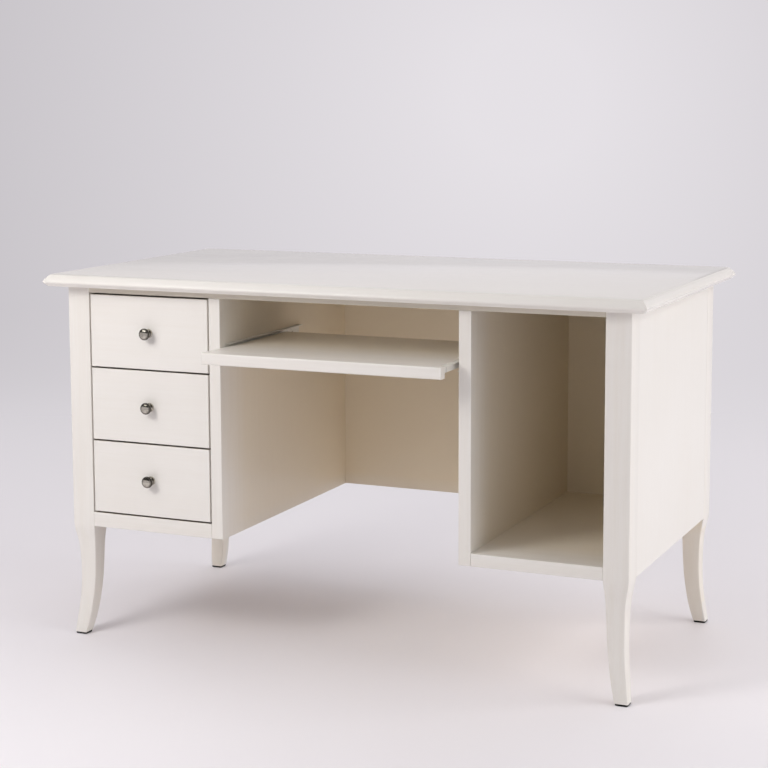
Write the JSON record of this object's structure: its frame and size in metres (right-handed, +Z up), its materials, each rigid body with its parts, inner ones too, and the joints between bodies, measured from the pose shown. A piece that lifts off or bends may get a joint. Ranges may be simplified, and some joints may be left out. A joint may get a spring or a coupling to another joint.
{
  "type": "computer desk",
  "caption": "Painted wooden computer desk with sabre legs, a moulded top, a drawer pedestal with round knobs, a pull-out keyboard tray and an open tower bay.",
  "frame": {"origin": "on the floor, under the middle of the desk's box with the keyboard tray drawn out as it stands at rest", "axes": "+X along the desk to the right as seen from the front, +Y to the back, +Z up"},
  "size_m": [1.27, 0.7304, 0.76],
  "materials": {
    "painted_wood": "ivory satin lacquer over wood and board",
    "bare_wood": "clear-sealed pale softwood",
    "hardboard": "smooth faced hardboard",
    "polished_nickel": "polished nickel plate",
    "rail_steel": "cream epoxy-coated sheet steel",
    "roller_nylon": "white nylon",
    "black_plastic": "black moulded glide"
  },
  "bodies": {
    "desk": {"desktop": "painted_wood", "front_top_rail": "painted_wood", "rear_top_rail": "painted_wood", "front_left_leg": "painted_wood", "front_right_leg": "painted_wood", "rear_left_leg": "painted_wood", "rear_right_leg": "painted_wood", "foot_glides": "black_plastic", "left_side_panel": "painted_wood", "right_side_panel": "painted_wood", "drawer_divider": "painted_wood", "tower_divider": "painted_wood", "pedestal_bottom_rail": "painted_wood", "pedestal_floor": "painted_wood", "drawer_bay_back": "painted_wood", "modesty_panel": "painted_wood", "tower_bay_back": "painted_wood", "tower_shelf": "painted_wood", "runner_battens": "bare_wood", "drawer_runners": "bare_wood", "tray_cabinet_rails": "rail_steel"},
    "top_drawer": {"top_drawer_front": "painted_wood", "top_drawer_sides": "bare_wood", "top_drawer_back": "bare_wood", "top_drawer_bottom": "hardboard", "top_drawer_knob": "polished_nickel"},
    "middle_drawer": {"middle_drawer_front": "painted_wood", "middle_drawer_sides": "bare_wood", "middle_drawer_back": "bare_wood", "middle_drawer_bottom": "hardboard", "middle_drawer_knob": "polished_nickel"},
    "bottom_drawer": {"bottom_drawer_front": "painted_wood", "bottom_drawer_sides": "bare_wood", "bottom_drawer_back": "bare_wood", "bottom_drawer_bottom": "hardboard", "bottom_drawer_knob": "polished_nickel"},
    "keyboard_tray": {"tray_board": "painted_wood", "tray_lip": "painted_wood", "tray_sliding_rails": "rail_steel"},
    "tray_front_rollers": {"tray_front_rollers": "roller_nylon"},
    "tray_rear_rollers": {"tray_rear_rollers": "roller_nylon"}
  },
  "joints": [
    {"name": "top_drawer_slide", "type": "slide", "parent": "desk", "child": "top_drawer", "axis": [0, -1, 0], "range_m": [0, 0.35]},
    {"name": "middle_drawer_slide", "type": "slide", "parent": "desk", "child": "middle_drawer", "axis": [0, -1, 0], "range_m": [0, 0.35]},
    {"name": "bottom_drawer_slide", "type": "slide", "parent": "desk", "child": "bottom_drawer", "axis": [0, -1, 0], "range_m": [0, 0.35]},
    {"name": "tray_slide", "type": "slide", "parent": "desk", "child": "keyboard_tray", "axis": [0, -1, 0], "range_m": [-0.0835, 0.2]},
    {"name": "tray_front_rollers_spin", "type": "hinge", "parent": "desk", "child": "tray_front_rollers", "pos_m": [0, -0.24875, 0.6145], "axis": [1, 0, 0], "range_deg": [-604, 1438]},
    {"name": "tray_rear_rollers_spin", "type": "hinge", "parent": "keyboard_tray", "child": "tray_rear_rollers", "pos_m": [0, -0.02725, 0.6123], "axis": [1, 0, 0], "range_deg": [-604, 1438]}
  ],
  "couplings": [
    {"joint": "tray_front_rollers_spin", "follows": "tray_slide", "rad_per_m": 125},
    {"joint": "tray_rear_rollers_spin", "follows": "tray_slide", "rad_per_m": 125}
  ]
}
